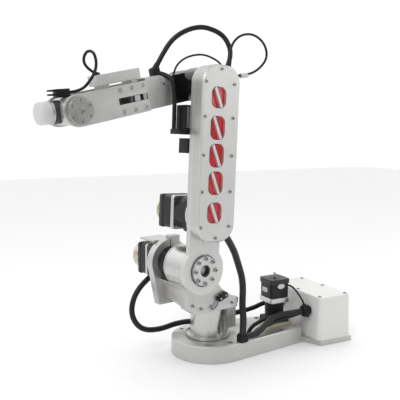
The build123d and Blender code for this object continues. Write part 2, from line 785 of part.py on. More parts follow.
CONNECTOR_SEAT = 230.0
with BuildPart() as arm_connectors:
    with BuildSketch(at_left(ARM, PLATE_FAR)):
        Polygon(
            (19, 222), (52, 222), (52, CONNECTOR_SEAT), (41, CONNECTOR_SEAT), (41, 269), (19, 269), align=None
        )
        with Locations((26, 204)):
            RectangleRounded(16, 24, 2)
    extrude(amount=28)
keep(arm_connectors, "arm_connectors")

# ---------------------------------------------------------------- elbow
ELBOW_R = 28.0
ELBOW_FAR = 26.0
with BuildPart() as j3_spindle:
    with BuildSketch(at_left(ARM, PULLEY_NEAR)):
        with Locations(ELBOW_AT):
            Circle(ELBOW_PULLEY_R)
    extrude(amount=PULLEY_W)
    with BuildSketch(at_left(ARM, PULLEY_NEAR - PULLEY_W)):
        with Locations(ELBOW_AT):
            Circle(SPINDLE_R)
    extrude(amount=PULLEY_NEAR - PULLEY_W - PLATE_FAR + 1)
keep(j3_spindle, "j3_spindle")

BLOCK_BACK = 46.0
BLOCK_TOP = 27.0
BLOCK_LOW = -23.0
BLOCK_HALF = 25.0
with BuildPart() as elbow_housing:
    with BuildSketch(at_left(ARM, PLATE_FAR - 1)):
        with Locations(ELBOW_AT):
            Circle(ELBOW_R)
    extrude(amount=PLATE_FAR - 1 - ELBOW_FAR)
    with BuildSketch(at_left(FORE, ELBOW_FAR)):
        Circle(26)
        with Locations(((BLOCK_BACK) / 2, 0)):
            Rectangle(BLOCK_BACK, 46)
    extrude(amount=2 * ELBOW_FAR)
keep(elbow_housing, "elbow_housing")

with BuildPart() as elbow_block:
    with BuildSketch(at_left(FORE, BLOCK_HALF)):
        Polygon(
            (BLOCK_BACK, BLOCK_LOW),
            (ROLL_FACE - CLEAR, BLOCK_LOW),
            (ROLL_FACE - CLEAR, BLOCK_TOP),
            (BLOCK_BACK + 20, BLOCK_TOP),
            (BLOCK_BACK, BLOCK_TOP - 13),
            align=None,
        )
    extrude(amount=2 * BLOCK_HALF)
    with BuildSketch(at_left(FORE, BLOCK_HALF)):
        with Locations((BLOCK_BACK + 14, 12)):
            Circle(2)
    extrude(amount=8, mode=Mode.SUBTRACT)
    with BuildSketch(across(FORE, ROLL_FACE)):
        Circle(12 + RUNNING)
    extrude(amount=-30, mode=Mode.SUBTRACT)
    with BuildSketch(at_left(FORE, BLOCK_HALF)):
        with Locations((BLOCK_BACK + 19, 0)):
            Rectangle(0.8, 80)
    extrude(amount=0.8, mode=Mode.SUBTRACT)
keep(elbow_block, "elbow_block")

with BuildPart() as elbow_socket:
    with BuildSketch(at_left(FORE, 17)):
        Polygon((56, 20.5), (66, BLOCK_TOP), (70, BLOCK_TOP), (70, 40), (56, 40), align=None)
    extrude(amount=16)
keep(elbow_socket, "elbow_socket")

# ---------------------------------------------------------------- forearm
CORE_HALF = 24.0
CORE_END = 180.0
FORK_END = FOREARM_LENGTH
FORE_SCREWS = [(u, w) for u in (108.0, 128.5, 149.0) for w in (17.0, -16.5)]
FORK_INNER = FORK_HALF - FORK_T
CARRIAGE_AT = 120.0
SLOT_H = 10.0

with BuildPart() as forearm_core:
    with BuildSketch(at_left(FORE, CORE_HALF)):
        with Locations(((ROLL_FACE + CORE_END) / 2, 0)):
            RectangleRounded(CORE_END - ROLL_FACE, 42, 5)
    extrude(amount=2 * CORE_HALF)
    with BuildSketch(at_left(FORE, CORE_HALF)):
        with Locations((140, 0)):
            Rectangle(76, 22)
    extrude(amount=2 * CORE_HALF, mode=Mode.SUBTRACT)
    with BuildSketch(across(FORE, ROLL_FACE)):
        Circle(12)
    extrude(amount=-26)
    with BuildSketch(at_left(FORE, FORK_INNER)):
        with Locations(*FORE_SCREWS):
            Circle(4)
    extrude(amount=2 * FORK_INNER)
    with BuildSketch(at_left(FORE, CORE_HALF)):
        with Locations((140, 0)):
            Rectangle(76, 22)
    extrude(amount=2 * CORE_HALF, mode=Mode.SUBTRACT)
keep(forearm_core, "forearm_core")


def fork_plate(left, slotted):
    """One side plate: a bar with a round end at the wrist axis."""
    with BuildPart() as plate:
        with BuildSketch(at_left(FORE, left)):
            with Locations(((ROLL_FACE + 5 + FORK_END) / 2, 0)):
                Rectangle(FORK_END - ROLL_FACE - 5, 2 * FORK_HIGH)
            with Locations((FORK_END, 0)):
                Circle(FORK_HIGH)
                Circle(9 + RUNNING, mode=Mode.SUBTRACT)
            if slotted:
                with Locations((127, 0)):
                    Rectangle(54, SLOT_H, mode=Mode.SUBTRACT)
        extrude(amount=FORK_T)
        with BuildSketch(at_left(FORE, left if slotted else left - FORK_T)):
            with Locations(*FORE_SCREWS):
                Circle(3.6)
        extrude(amount=2.4 if slotted else -2.4, mode=Mode.SUBTRACT)
    return plate


with BuildPart() as forearm_plates:
    add(fork_plate(FORK_HALF, True).part)
    add(fork_plate(-FORK_INNER, False).part)
keep(forearm_plates, "forearm_plates")

with BuildPart() as forearm_screws:
    for left, side in ((FORK_HALF - 2.4, 1), (-FORK_HALF + 2.4, -1)):
        with BuildSketch(at_left(FORE, left)):
            with Locations(*FORE_SCREWS):
                Circle(3.4)
        extrude(amount=-1.8 * side)
        with BuildSketch(at_left(FORE, left + 1.8 * side)):
            with Locations(*FORE_SCREWS):
                RegularPolygon(1.7, 6)
        extrude(amount=1.2 * side, mode=Mode.SUBTRACT)
keep(forearm_screws, "forearm_screws")

with BuildPart() as j5_carriage:
    with BuildSketch(at_left(FORE, FORK_HALF - 1)):
        with Locations((CARRIAGE_AT, 0)):
            Rectangle(10, SLOT_H - 1)
    extrude(amount=FORK_T + 3)
    with BuildSketch(at_left(FORE, FORK_HALF - FORK_T - 4)):
        with Locations((CARRIAGE_AT, 0)):
            Rectangle(12, 18)
    extrude(amount=30)
keep(j5_carriage, "j5_carriage")

TRAY_BACK = 98.0
TRAY_END = 172.0
TRAY_LOW = 28.0
TRAY_HIGH = 44.0
with BuildPart() as sensor_tray:
    with BuildSketch(at_left(FORE, 20)):
        with Locations(((TRAY_BACK + TRAY_END) / 2, (TRAY_LOW + TRAY_HIGH) / 2)):
            Rectangle(TRAY_END - TRAY_BACK, TRAY_HIGH - TRAY_LOW)
    extrude(amount=34)
    with BuildSketch(at_left(FORE, 18)):
        with Locations((TRAY_BACK + 12, 24.5), (TRAY_END - 12, 24.5)):
            Rectangle(10, 7)
    extrude(amount=30)
keep(sensor_tray, "sensor_tray")

# ---------------------------------------------------------------- wrist and tool
WRIST_HALF = FORK_INNER - 2.5
DISC_FAR = FORK_HALF + 0.5
DISC_NEAR = 44.0
DISC_R = 20.0
GEAR_END = 27.0
with BuildPart() as wrist_housing:
    with BuildSketch(at_left(HAND, WRIST_HALF)):
        Circle(WRIST_R)
    extrude(amount=2 * WRIST_HALF)
    with BuildSketch(at_left(HAND, DISC_FAR)):
        Circle(9)
    extrude(amount=2 * DISC_FAR)
    with BuildSketch(across(HAND, WRIST_R + 2)):
        Circle(5 + RUNNING)
    extrude(amount=-8, mode=Mode.SUBTRACT)
keep(wrist_housing, "wrist_housing")

with BuildPart() as j5_disc:
    with BuildSketch(at_left(HAND, DISC_NEAR)):
        Circle(DISC_R)
    extrude(amount=DISC_NEAR - DISC_FAR)
    with BuildSketch(at_left(HAND, DISC_NEAR)):
        with PolarLocations(15.8, 6, 90):
            Circle(2.2)
        Circle(5)
    extrude(amount=4, mode=Mode.SUBTRACT)
keep(j5_disc, "j5_disc")

with BuildPart() as j6_gearbox:
    with BuildSketch(across(HAND, GEAR_END)):
        Circle(17.5)
        Circle(5.06, mode=Mode.SUBTRACT)
    extrude(amount=-(GEAR_END - WRIST_R + 6))
    with BuildSketch(at_left(HAND, WRIST_HALF + 3)):
        Circle(WRIST_R + 0.01)
    extrude(amount=2 * WRIST_HALF + 6, mode=Mode.SUBTRACT)
keep(j6_gearbox, "j6_gearbox")

with BuildPart() as wrist_sensor:
    with BuildSketch(at_left(HAND, 8)):
        with Locations((8, 27)):
            Rectangle(22, 13)
        with Locations((23, 25.5)):
            Rectangle(12, 3)
        with Locations((23, 31.5)):
            Rectangle(12, 3)
    extrude(amount=14)
    with BuildSketch(at_left(HAND, WRIST_HALF)):
        Circle(WRIST_R)
    extrude(amount=2 * WRIST_HALF, mode=Mode.SUBTRACT)
keep(wrist_sensor, "wrist_sensor")

FLANGE_END = 31.5
with BuildPart() as tool_flange:
    with BuildSketch(across(HAND, FLANGE_END)):
        Circle(17.5)
    extrude(amount=-(FLANGE_END - GEAR_END - CLEAR))
    with BuildSketch(across(HAND, GEAR_END + CLEAR)):
        Circle(5)
    extrude(amount=-8)
    with BuildSketch(across(HAND, FLANGE_END)):
        with GridLocations(20, 20, 2, 2):
            Circle(1.65)
    extrude(amount=-(FLANGE_END - GEAR_END - CLEAR), mode=Mode.SUBTRACT)
keep(tool_flange, "tool_flange")

with BuildPart() as tool_cap:
    with BuildSketch(across(HAND, FLANGE_END)):
        Circle(17)
    extrude(amount=18)
    fillet(tool_cap.faces().sort_by(Axis(WRIST, along(REST_WRIST)))[-1].edges(), 4)
keep(tool_cap, "tool_cap")

# ---------------------------------------------------------------- cables
# the clip stands outside the circle that the turning frame's rear corners sweep
CLIP_BACK = -46.0
CLIP_LONG = 18.0
CLIP_WIDE = 16.0
CLIP_LEFT = 61.0
CLIP_TOP = 44.0
with BuildPart() as deck_clip:
    with BuildSketch(Plane.XY.offset(DECK_TOP)):
        with Locations((CLIP_BACK + CLIP_LONG / 2, CLIP_LEFT)):
            RectangleRounded(CLIP_LONG, CLIP_WIDE, 4)
    extrude(amount=CLIP_TOP - DECK_TOP)
    fillet(deck_clip.faces().sort_by(Axis.Z)[-1].edges(), 3)
keep(deck_clip, "deck_clip")

# from the second joint's motor, down and round in front of the base, back beside the column
BEFORE_JOIN = Vector(-55, -47, 43)
FAR_JOIN = Vector(-97, -45, 47)
keep_cable("cable_front_loop", 10, [
    spot(SIDE, 44, -72, 151),
    spot(SIDE, 84, -70, 134),
    spot(SIDE, 115, -68, 106),
    spot(SIDE, 123, -65, 72),
    spot(SIDE, 104, -61, 43),
    spot(SIDE, 66, -58, 37),
    Vector(38, -48, 44),
    Vector(-8, -50, 41),
    BEFORE_JOIN,
    FAR_JOIN,
])
keep_cable("cable_far_run", 9, [
    FAR_JOIN,
    FAR_JOIN + (FAR_JOIN - BEFORE_JOIN) * 0.66,
    Vector(-150, -40, 60),
    Vector(-176, -40, 57),
    Vector(-197, -40, 51),
])

# the sleeve from the cover's lower corner down behind the shoulder
SLEEVE = 12.0
TIE = spot(SIDE, -43.5, 46, 104)
keep_cable("cable_arm_bundle", SLEEVE, [
    spot(SIDE, 33, 79, 235),
    spot(SIDE, 4, 72, 205),
    spot(SIDE, -21, 59, 168),
    spot(SIDE, -43, 48, 130),
    TIE,
])
keep_cable("cable_base_drop", SLEEVE, [
    TIE,
    TIE + (TIE - spot(SIDE, -43, 48, 130)) * 0.77,
    Vector(-49, 45, 64),
    Vector(CLIP_BACK + CLIP_LONG / 2, CLIP_LEFT, 40),
])
keep_cable("cable_deck_run", 11, [
    Vector(CLIP_BACK, CLIP_LEFT - 1, 37),
    Vector(-68, CLIP_LEFT - 1, 37),
    Vector(-94, 49, 49),
    Vector(-122, 37, 57),
    Vector(-156, 44, GLAND_Z),
    Vector(GLAND_FACE + 12, GLAND_Y, GLAND_Z),
])

# over the elbow to the cover's rounded top corner, and down in front of the arm
LANDING_TURN = math.radians(25)
COVER_LANDING = spot(
    ARM,
    COVER_CORNER - COVER_BEHIND - COVER_CORNER * math.sin(LANDING_TURN),
    74,
    COVER_HIGH - COVER_CORNER + COVER_CORNER * math.cos(LANDING_TURN) + 0.02,
)
keep_cable("cable_elbow_arc", 8, [
    spot(SIDE, 119, 9, 494),
    spot(SIDE, 106, 13, 521),
    spot(SIDE, 88, 25, 552),
    spot(SIDE, 52, 41, 569),
    spot(SIDE, 24, 57, 560),
    spot(SIDE, 13, 67, 545),
    spot(SIDE, 9.5, 74, 520.5),
    COVER_LANDING,
])
keep_cable("cable_elbow_drop", 7, [
    spot(SIDE, 113, 12, 492),
    spot(SIDE, 101, 30, 488),
    spot(SIDE, 97, 36, 466),
    spot(ARM, 46.5, 36, CONNECTOR_SEAT + 28),
    spot(ARM, 46.5, 36, CONNECTOR_SEAT),
])
keep_cable("cable_ring", 4, [
    spot(SIDE, 22, 82.5, 496),
    spot(SIDE, 20, 84, 512),
    spot(SIDE, 22, 85, 534),
    spot(SIDE, 3, 85, 553),
    spot(SIDE, -27, 85, 558),
    spot(SIDE, -53, 85, 545),
    spot(SIDE, -62, 84, 522),
    spot(SIDE, -44, 82, 501),
    spot(SIDE, -18, 80, 490),
    spot(SIDE, 18, 79, 487),
])
keep_cable("cable_wrist_loop", 4.5, [
    spot(SIDE, 210, -9, 485),
    spot(SIDE, 229, -5, 492),
    spot(SIDE, 244, 0, 505),
    spot(SIDE, 243, 13, 521),
    spot(SIDE, 231, 28, 517),
    spot(SIDE, 226, 27, 495),
    spot(SIDE, 232, 17, 477),
    spot(HAND, -24, 1, 28),
    spot(HAND, -3.02, 1, 28),
])
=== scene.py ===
import bmesh
import bpy
import json
import math
from mathutils import Matrix, Vector


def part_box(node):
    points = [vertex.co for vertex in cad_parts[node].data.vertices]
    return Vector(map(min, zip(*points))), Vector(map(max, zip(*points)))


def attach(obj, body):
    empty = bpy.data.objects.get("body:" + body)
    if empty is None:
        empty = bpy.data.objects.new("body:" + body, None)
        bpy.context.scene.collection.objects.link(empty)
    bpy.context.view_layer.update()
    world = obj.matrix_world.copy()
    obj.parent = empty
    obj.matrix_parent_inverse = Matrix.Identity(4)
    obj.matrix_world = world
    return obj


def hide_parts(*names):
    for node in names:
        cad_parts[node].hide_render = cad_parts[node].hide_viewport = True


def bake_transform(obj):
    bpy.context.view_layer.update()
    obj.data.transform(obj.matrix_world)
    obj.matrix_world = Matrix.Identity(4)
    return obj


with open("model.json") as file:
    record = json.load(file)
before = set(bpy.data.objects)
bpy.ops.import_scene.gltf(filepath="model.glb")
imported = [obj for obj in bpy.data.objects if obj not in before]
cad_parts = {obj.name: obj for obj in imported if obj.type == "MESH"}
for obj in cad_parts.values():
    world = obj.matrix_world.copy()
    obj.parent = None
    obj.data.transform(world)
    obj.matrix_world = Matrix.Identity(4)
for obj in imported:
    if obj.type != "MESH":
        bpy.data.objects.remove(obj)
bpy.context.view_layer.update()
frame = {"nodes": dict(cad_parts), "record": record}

# ---------------------------------------------------------------- places, in millimetres along each limb
MM = 0.001
REST_TURN = 10.0
REST_LEAN = -2.8
REST_REACH = -12.0
REST_WRIST = -5.0
LEFT = Vector((-math.sin(math.radians(REST_TURN)), math.cos(math.radians(REST_TURN)), 0))


def limb(origin, slope):
    """A frame with x ahead along the limb, y to the arm's left and z up from the limb."""
    rise, turn = math.radians(slope), math.radians(REST_TURN)
    ahead = Vector((math.cos(turn) * math.cos(rise), math.sin(turn) * math.cos(rise), math.sin(rise)))
    placed = Matrix((ahead, LEFT, ahead.cross(LEFT))).transposed().to_4x4()
    placed.translation = origin
    return placed


def spot(where, ahead, left, up):
    return where @ (Vector((ahead, left, up)) * MM)


BASE = Matrix.Identity(4)
TURRET = limb((0, 0, 0), 0)
ARM = limb(spot(TURRET, 64, 0, 170), -REST_LEAN)
FORE = limb(spot(ARM, 0, 0, 305), REST_REACH)
HAND = limb(spot(FORE, 222.5, 0, 0), REST_WRIST)


def facing_right(where, ahead, left, up):
    """Local z points to the arm's right, x ahead and y up."""
    placed = where @ Matrix.Rotation(math.radians(90), 4, "X")
    placed.translation = spot(where, ahead, left, up)
    return placed


def facing_ahead(where, ahead, left, up):
    """Local z points ahead, x to the left and y up."""
    placed = where @ Matrix(((0, 0, 1, 0), (1, 0, 0, 0), (0, 1, 0, 0), (0, 0, 0, 1)))
    placed.translation = spot(where, ahead, left, up)
    return placed


def facing_left(where, ahead, left, up):
    """Local z points to the arm's left, x ahead and y down."""
    placed = where @ Matrix.Rotation(math.radians(-90), 4, "X")
    placed.translation = spot(where, ahead, left, up)
    return placed


def upright(x, y, z):
    return Matrix.Translation(Vector((x, y, z)) * MM)


# ---------------------------------------------------------------- camera
CAMERA_AT = Vector((0.5292, 0.9699, 0.4050))
CAMERA_AIM = Vector((-0.0233, -0.0738, 0.2675))
LENS = 56.3

camera = bpy.data.objects.new("camera", bpy.data.cameras.new("camera"))
bpy.context.scene.collection.objects.link(camera)
camera.location = CAMERA_AT
camera.rotation_euler = (CAMERA_AIM - CAMERA_AT).to_track_quat("-Z", "Y").to_euler()
camera.data.lens = LENS
camera.data.sensor_width = 36
bpy.context.scene.camera = camera


# ---------------------------------------------------------------- materials
def new_material(name):
    material = bpy.data.materials.new(name)
    material.use_nodes = True
    nodes = material.node_tree.nodes
    return material, nodes, material.node_tree.links, nodes["Principled BSDF"]


def shade(colour, factor):
    return tuple(min(1.0, c * factor) for c in colour) + (1.0,)


def noise(nodes, links, source, scale, detail=3.0, stretch=(1, 1, 1)):
    mapping = nodes.new("ShaderNodeMapping")
    mapping.inputs["Scale"].default_value = stretch
    texture = nodes.new("ShaderNodeTexNoise")
    texture.inputs["Scale"].default_value = scale
    texture.inputs["Detail"].default_value = detail
    links.new(source, mapping.inputs["Vector"])
    links.new(mapping.outputs["Vector"], texture.inputs["Vector"])
    return texture.outputs["Fac"]


def remap(nodes, links, value, low, high, to_low, to_high):
    node = nodes.new("ShaderNodeMapRange")
    for name, number in (("From Min", low), ("From Max", high), ("To Min", to_low), ("To Max", to_high)):
        node.inputs[name].default_value = number
    links.new(value, node.inputs["Value"])
    return node.outputs["Result"]


def blend_colour(nodes, links, factor, low, high):
    mix = nodes.new("ShaderNodeMix")
    mix.data_type = "RGBA"
    for socket, colour in ((mix.inputs[6], low), (mix.inputs[7], high)):
        if isinstance(colour, tuple):
            socket.default_value = colour
        else:
            links.new(colour, socket)
    links.new(factor, mix.inputs[0])
    return mix.outputs[2]


def surface(name, colour, metallic=0.0, roughness=0.45, grain=2500.0, grain_depth=0.05, mottle=0.06,
            stretch=(1, 1, 1), wear=0.0, edge=0.5, coat=0.0, spread=0.08, transmission=0.0, specular=0.5):
    """One hard surface: fine grain in the bump, slow mottling of colour and roughness, worn bright edges."""
    material, nodes, links, shader = new_material(name)
    place = nodes.new("ShaderNodeTexCoord").outputs["Object"]
    slow = noise(nodes, links, place, 38, 4)
    fine = noise(nodes, links, place, grain, 2, stretch)
    colour_now = blend_colour(nodes, links, remap(nodes, links, slow, 0.3, 0.7, 0, 1),
                              shade(colour, 1 - mottle), shade(colour, 1 + mottle))
    if wear:
        point = nodes.new("ShaderNodeNewGeometry").outputs["Pointiness"]
        edges = remap(nodes, links, point, 0.52, 0.58, 0, wear)
        colour_now = blend_colour(nodes, links, edges, colour_now, shade((0.8, 0.8, 0.8), 1))
    links.new(colour_now, shader.inputs["Base Color"])
    both = nodes.new("ShaderNodeMath")
    both.operation = "ADD"
    links.new(slow, both.inputs[0])
    links.new(fine, both.inputs[1])
    links.new(remap(nodes, links, both.outputs[0], 0.6, 1.4, roughness - spread, roughness + spread),
              shader.inputs["Roughness"])
    shader.inputs["Metallic"].default_value = metallic
    shader.inputs["Specular IOR Level"].default_value = specular
    shader.inputs["Coat Weight"].default_value = coat
    shader.inputs["Coat Roughness"].default_value = 0.12
    shader.inputs["Transmission Weight"].default_value = transmission
    bevel = nodes.new("ShaderNodeBevel")
    bevel.inputs["Radius"].default_value = edge * MM
    bevel.samples = 4
    bump = nodes.new("ShaderNodeBump")
    bump.inputs["Strength"].default_value = 0.6
    bump.inputs["Distance"].default_value = grain_depth * MM
    links.new(fine, bump.inputs["Height"])
    links.new(bevel.outputs["Normal"], bump.inputs["Normal"])
    links.new(bump.outputs["Normal"], shader.inputs["Normal"])
    return material


def cable_jacket(name, colour, roughness, pitch, depth, diameter):
    """A cable's jacket by the tube's own coordinates: u round it and v along it, in metres."""
    material, nodes, links, shader = new_material(name)
    place = nodes.new("ShaderNodeUVMap").outputs["UV"]
    split = nodes.new("ShaderNodeSeparateXYZ")
    links.new(place, split.inputs[0])
    strands = []
    for lean in (1, -1):
        turns = nodes.new("ShaderNodeMath")
        turns.operation = "MULTIPLY_ADD"
        turns.inputs[1].default_value = lean * math.pi * diameter / pitch
        links.new(split.outputs["X"], turns.inputs[0])
        along_it = nodes.new("ShaderNodeMath")
        along_it.operation = "MULTIPLY"
        along_it.inputs[1].default_value = 1 / pitch
        links.new(split.outputs["Y"], along_it.inputs[0])
        links.new(along_it.outputs[0], turns.inputs[2])
        wave = nodes.new("ShaderNodeMath")
        wave.operation = "PINGPONG"
        wave.inputs[1].default_value = 0.5
        links.new(turns.outputs[0], wave.inputs[0])
        strands.append(wave.outputs[0])
    weave = nodes.new("ShaderNodeMath")
    weave.operation = "MAXIMUM"
    links.new(strands[0], weave.inputs[0])
    links.new(strands[1], weave.inputs[1])
    dust = noise(nodes, links, nodes.new("ShaderNodeTexCoord").outputs["Object"], 90, 4)
    tone = blend_colour(nodes, links, remap(nodes, links, weave.outputs[0], 0.2, 0.5, 0, 1),
                        shade(colour, 0.6), shade(colour, 1.5))
    tone = blend_colour(nodes, links, remap(nodes, links, dust, 0.45, 0.75, 0, 0.3), tone, shade(colour, 2.5))
    shader.inputs["Specular IOR Level"].default_value = 0.35
    links.new(tone, shader.inputs["Base Color"])
    gloss = remap(nodes, links, dust, 0.3, 0.7, roughness - 0.07, roughness + 0.1)
    links.new(gloss, shader.inputs["Roughness"])
    bump = nodes.new("ShaderNodeBump")
    bump.inputs["Strength"].default_value = 0.8
    bump.inputs["Distance"].default_value = depth * MM
    links.new(weave.outputs[0], bump.inputs["Height"])
    links.new(bump.outputs["Normal"], shader.inputs["Normal"])
    return material


SILVER = surface("silver_cast", (0.47, 0.465, 0.45), 0.8, 0.4, 1800, 0.06, 0.05, wear=0.25, edge=0.6)
SILVER_FACE = surface("silver_face", (0.56, 0.557, 0.545), 0.75, 0.45, 2600, 0.05, 0.04, wear=0.2, edge=0.8)
TURNED = surface(
    "turned_aluminium", (0.56, 0.555, 0.545), 1.0, 0.27, 700, 0.03, 0.04,
    stretch=(1, 1, 14), edge=0.5,
)
DARK_STEEL = surface("dark_steel", (0.09, 0.09, 0.095), 0.9, 0.38, 1500, 0.04, 0.12, wear=0.35, edge=0.25)
STEEL = surface("bright_steel", (0.5, 0.5, 0.51), 1.0, 0.28, 1400, 0.03, 0.08, edge=0.3)
WARM_CAN = surface("warm_can", (0.52, 0.49, 0.40), 1.0, 0.16, 900, 0.03, 0.10, stretch=(1, 14, 1), edge=0.4)
BLACK_METAL = surface(
    "black_enamel", (0.008, 0.008, 0.009), 0.0, 0.4, 2200, 0.05, 0.2,
    wear=0.04, edge=0.5, specular=0.3,
)
BLACK_GLOSS = surface("black_anodised", (0.03, 0.032, 0.03), 0.75, 0.2, 1600, 0.03, 0.2, wear=0.1, edge=0.6)
BLACK_PLASTIC = surface(
    "black_plastic", (0.007, 0.007, 0.008), 0.0, 0.42, 2400, 0.08, 0.2,
    edge=0.5, specular=0.28,
)
LAMINATED = surface(
    "laminated_steel", (0.016, 0.016, 0.017), 0.5, 0.36, 900, 0.12, 0.15,
    stretch=(0.2, 0.2, 5), edge=0.3,
)
WHITE_PLASTIC = surface(
    "white_moulded", (0.74, 0.74, 0.73), 0.0, 0.36, 1500, 0.05, 0.015,
    edge=1.2, spread=0.05,
)
FROSTED = surface("frosted_cap", (0.8, 0.8, 0.79), 0.0, 0.32, 1200, 0.04, 0.02, edge=1.0, transmission=0.35)
RED = surface("red_gloss", (0.58, 0.004, 0.014), 0.0, 0.2, 1200, 0.02, 0.08, edge=0.5, coat=0.6)
CREAM = surface("cream_plate", (0.75, 0.68, 0.5), 0.35, 0.4, 1500, 0.04, 0.05, edge=0.4)
PAPER = surface("blank_label", (0.62, 0.62, 0.6), 0.0, 0.55, 2600, 0.03, 0.03, edge=0.1)
BELT = surface("belt_rubber", (0.02, 0.02, 0.02), 0.0, 0.6, 500, 0.2, 0.2, stretch=(1, 1, 0.1), edge=0.2)
GREEN_BOARD = surface("circuit_board", (0.02, 0.14, 0.06), 0.0, 0.35, 600, 0.05, 0.3, edge=0.2)
LAMP = surface("indicator", (0.75, 0.05, 0.03), 0.0, 0.2, 900, 0.01, 0.05, edge=0.2, coat=0.8)
RUBBER = cable_jacket("cable_rubber", (0.006, 0.006, 0.007), 0.42, 0.006, 0.02, 0.008)
SLEEVE = cable_jacket("braided_sleeve", (0.009, 0.009, 0.01), 0.34, 0.0016, 0.35, 0.012)

LOOKS = {
    "silver": SILVER, "steel": DARK_STEEL, "polished": TURNED, "black_metal": BLACK_METAL,
    "black_plastic": BLACK_PLASTIC, "white_plastic": WHITE_PLASTIC, "red_plastic": RED,
    "belt_rubber": BELT, "lever_steel": STEEL, "cable_rubber": RUBBER,
}
OWN_LOOKS = {
    "cover_lid": SILVER_FACE, "arm_plate": SILVER_FACE, "j2_boss": SILVER_FACE, "elbow_housing": BLACK_GLOSS,
    "j1_mount_plate": CREAM, "enclosure_board": GREEN_BOARD, "turret_column": TURNED, "j5_disc": TURNED,
    "j3_spindle": STEEL, "forearm_screws": STEEL, "j5_carriage": STEEL, "elbow_block": SILVER,
    "j1_driven_pulley": TURNED,
}
slot_of = {entry["node"]: entry["material_slot"] for entry in frame["record"]["subparts"]}
for node, piece in frame["nodes"].items():
    look = OWN_LOOKS.get(node, LOOKS[slot_of[node]])
    if not piece.material_slots:
        piece.data.materials.append(look)
    for holder in piece.material_slots:
        holder.material = look


# ---------------------------------------------------------------- mesh tools, in millimetres
def new_piece(name, mesh, placed, looks, body, nodes=()):
    """Makes an object from a bmesh in millimetres, put where the matrix says, riding on a body."""
    bmesh.ops.recalc_face_normals(mesh, faces=mesh.faces)
    mesh.transform(Matrix.Scale(MM, 4))
    data = bpy.data.meshes.new(name)
    mesh.to_mesh(data)
    mesh.free()
    data.transform(placed)
    for look in looks:
        data.materials.append(look)
    data.shade_smooth()
    data.set_sharp_from_angle(angle=math.radians(35))
    piece = bpy.data.objects.new(name, data)
    bpy.context.scene.collection.objects.link(piece)
    if body:
        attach(piece, body)
    if nodes:
        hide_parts(*nodes)
    return piece


def skin(mesh, rings, look, capped=True):
    """Faces between rings of points, closed at both ends."""
    made = [[mesh.verts.new(p) for p in ring] for ring in rings]
    count = len(made[0])
    for lower, upper in zip(made, made[1:]):
        for k in range(count):
            after = (k + 1) % count
            mesh.faces.new((lower[k], lower[after], upper[after], upper[k])).material_index = look
    if capped:
        mesh.faces.new(made[0][::-1]).material_index = look
        mesh.faces.new(made[-1]).material_index = look
    return made


def outline(width, depth, radius, steps=6):
    points = []
    for quarter, (sx, sy) in enumerate(((1, 1), (-1, 1), (-1, -1), (1, -1))):
        middle = (sx * (width / 2 - radius), sy * (depth / 2 - radius))
        for k in range(steps + 1):
            angle = math.radians(90 * (quarter + k / steps))
            points.append((middle[0] + radius * math.cos(angle), middle[1] + radius * math.sin(angle)))
    return points


def slab(mesh, width, depth, radius, low, high, look=0, at=(0, 0), soft=0.4):
    """A rounded rectangular prism with its top and bottom edges taken off."""
    rings = []
    for z, less in ((low, soft), (low + soft, 0), (high - soft, 0), (high, soft)):
        shape = outline(width - 2 * less, depth - 2 * less, max(radius - less, 0.15))
        rings.append([(at[0] + x, at[1] + y, z) for x, y in shape])
    skin(mesh, rings, look)


def turned(mesh, profile, look=0, at=(0, 0), sides=48, twist=0.0):
    """A round piece by its (radius, height) outline."""
    rings = []
    for radius, z in profile:
        angles = [math.tau * (k + twist) / sides for k in range(sides)]
        rings.append([(at[0] + radius * math.cos(a), at[1] + radius * math.sin(a), z) for a in angles])
    skin(mesh, rings, look)


def cap_screw(mesh, at, seat, head_r, head_t, look=0):
    """A cap screw's head with a rounded rim, standing up from its seat, and on top a flat six-sided disc in
    the next look as painted shade for the socket.
    """
    head = [(head_r, seat), (head_r, seat + head_t * 0.8), (head_r * 0.86, seat + head_t)]
    turned(mesh, head, look, at, 24)
    # painted shade: a thin flat six-sided disc in the next look stands in for the shade down in the socket
    rim = [(head_r * 0.5, seat + head_t), (head_r * 0.5, seat + head_t + 0.02)]
    turned(mesh, rim, look + 1, at, 6)


# ---------------------------------------------------------------- cables
def centreline(route):
    """Points along the smooth line that has the route's points as its control points."""
    curve = bpy.data.curves.new("route", "CURVE")
    curve.dimensions = "3D"
    curve.resolution_u = 10
    spline = curve.splines.new("NURBS")
    spline.points.add(len(route) - 1)
    for point, place in zip(spline.points, route):
        point.co = (*place, 1)
    spline.order_u = 3
    spline.use_endpoint_u = True
    holder = bpy.data.objects.new("route", curve)
    bpy.context.scene.collection.objects.link(holder)
    mesh = bpy.data.meshes.new_from_object(holder)
    points = [v.co.copy() for v in mesh.vertices]
    bpy.data.objects.remove(holder)
    bpy.data.curves.remove(curve)
    bpy.data.meshes.remove(mesh)
    return points


